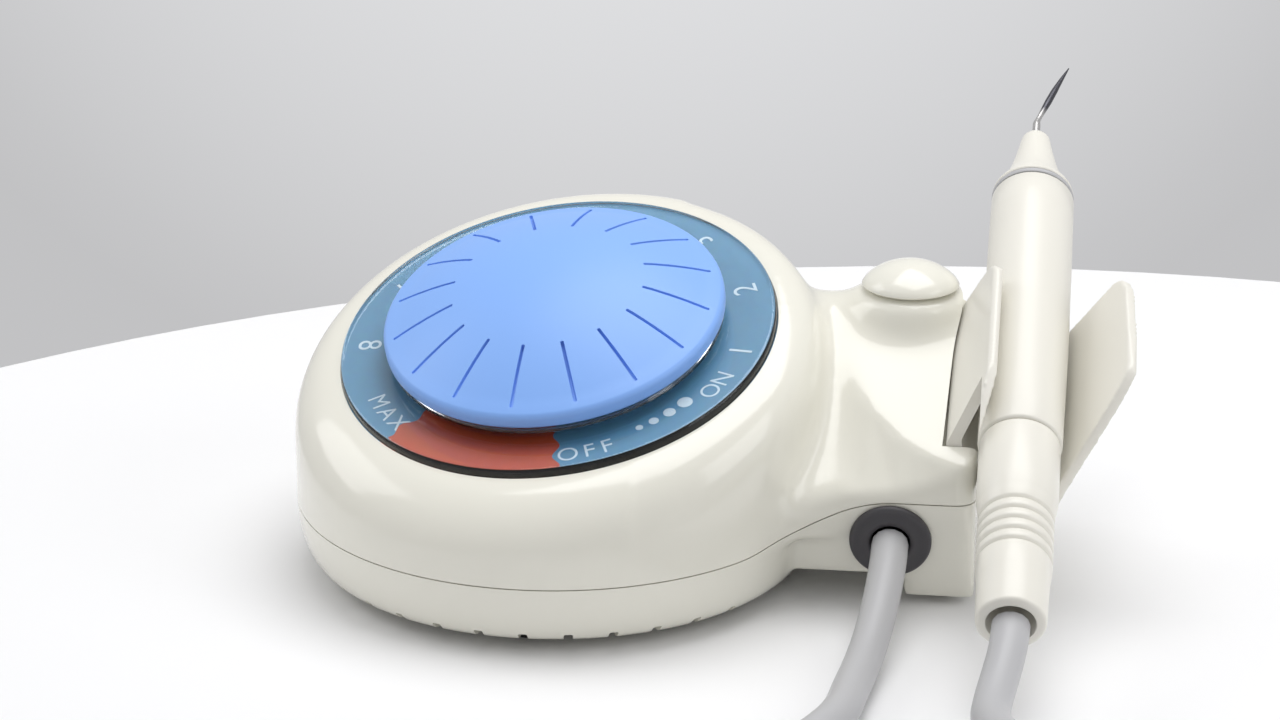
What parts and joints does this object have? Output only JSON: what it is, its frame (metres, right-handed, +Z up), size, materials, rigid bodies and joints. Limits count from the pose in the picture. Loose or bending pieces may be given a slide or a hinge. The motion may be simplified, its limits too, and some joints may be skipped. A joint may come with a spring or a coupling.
{
  "type": "ultrasonic scaler",
  "caption": "Ultrasonic scaler: round desktop unit with a tilted power dial, side neck with water knob, and a sickle-tipped handpiece resting in a cradle on its coiled hose.",
  "frame": {"origin": "middle of the footprint of unit and handpiece, without the free hose, at the level of the desk", "axes": "+Z up, +X from the round body towards the handpiece cradle, -Y towards the user"},
  "size_m": [0.219, 0.3815, 0.0974],
  "materials": {
    "case_cream": "glossy moulded ABS, cream white",
    "handpiece_ivory": "satin moulded resin, warm ivory",
    "knob_blue": "fine matt sky blue",
    "clear_cover": "clear glossy acrylic",
    "printed_label": "printed steel blue film with an orange sector",
    "hose_grey": "light grey silicone",
    "grommet_dark": "dark grey moulded rubber",
    "black_rubber": "black rubber",
    "steel": "polished surgical steel",
    "brass": "machined brass and copper",
    "ceramic": "piezo ceramic",
    "board_green": "green circuit board",
    "aluminium": "plain aluminium",
    "dark_plastic": "black component plastic"
  },
  "bodies": {
    "base": {"capacitor_1": "dark_plastic", "capacitor_2": "dark_plastic", "case_screw_1": "steel", "case_screw_2": "steel", "case_screw_3": "steel", "case_screw_4": "steel", "cradle_screw_1": "steel", "cradle_screw_2": "steel", "foot_switch_socket": "dark_plastic", "handpiece_cradle": "handpiece_ivory", "heat_sink": "aluminium", "hose_base_run": "hose_grey", "hose_clamp": "steel", "hose_coil": "hose_grey", "hose_grommet": "grommet_dark", "hose_handpiece_run": "hose_grey", "lower_shell": "case_cream", "main_board": "board_green", "output_transformer": "brass", "panel_cover": "clear_cover", "panel_label": "printed_label", "potentiometer_body": "aluminium", "potentiometer_nut": "steel", "power_socket": "dark_plastic", "power_transistor_1": "dark_plastic", "power_transistor_2": "dark_plastic", "rubber_foot_1": "black_rubber", "rubber_foot_2": "black_rubber", "rubber_foot_3": "black_rubber", "rubber_foot_4": "black_rubber", "solenoid_valve": "dark_plastic", "transformer_bobbin": "dark_plastic", "upper_shell": "case_cream", "valve_coil": "brass", "valve_tube": "clear_cover", "water_inlet_fitting": "steel", "water_valve_body": "brass"},
    "power_knob": {"knob_cap": "knob_blue", "knob_skirt": "clear_cover", "potentiometer_shaft": "steel"},
    "water_control": {"water_knob": "case_cream", "water_valve_stem": "steel"},
    "hose_connector": {"connector_shell": "handpiece_ivory", "connector_core": "dark_plastic", "connector_seal": "black_rubber", "connector_pin_1": "brass", "connector_pin_2": "brass"},
    "handpiece": {"handpiece_sleeve": "handpiece_ivory", "nose_ring": "hose_grey", "nose_cone": "handpiece_ivory", "back_mass": "steel", "piezo_ring_1": "ceramic", "piezo_ring_2": "ceramic", "piezo_ring_3": "ceramic", "piezo_ring_4": "ceramic", "stack_bolt": "steel", "transducer_horn": "steel", "horn_o_ring": "black_rubber", "scaler_tip": "steel"}
  },
  "joints": [
    {"name": "power_knob_turn", "type": "hinge", "parent": "base", "child": "power_knob", "pos_m": [-0.0363, -0.01761, 0.0574], "axis": [-0.1076, -0.3143, 0.9432], "range_deg": [0, 290]},
    {"name": "water_knob_turn", "type": "hinge", "parent": "base", "child": "water_control", "pos_m": [0.0477, 0.00839, 0.0651], "axis": [0, 0, 1], "range_deg": [-270, 0]},
    {"name": "handpiece_lift", "type": "slide", "parent": "base", "child": "hose_connector", "axis": [0.454, -0.328, 0.8284], "range_m": [0, 0.045]},
    {"name": "handpiece_pull", "type": "slide", "parent": "hose_connector", "child": "handpiece", "axis": [0, 0.9298, 0.3681], "range_m": [0, 0.03]}
  ]
}
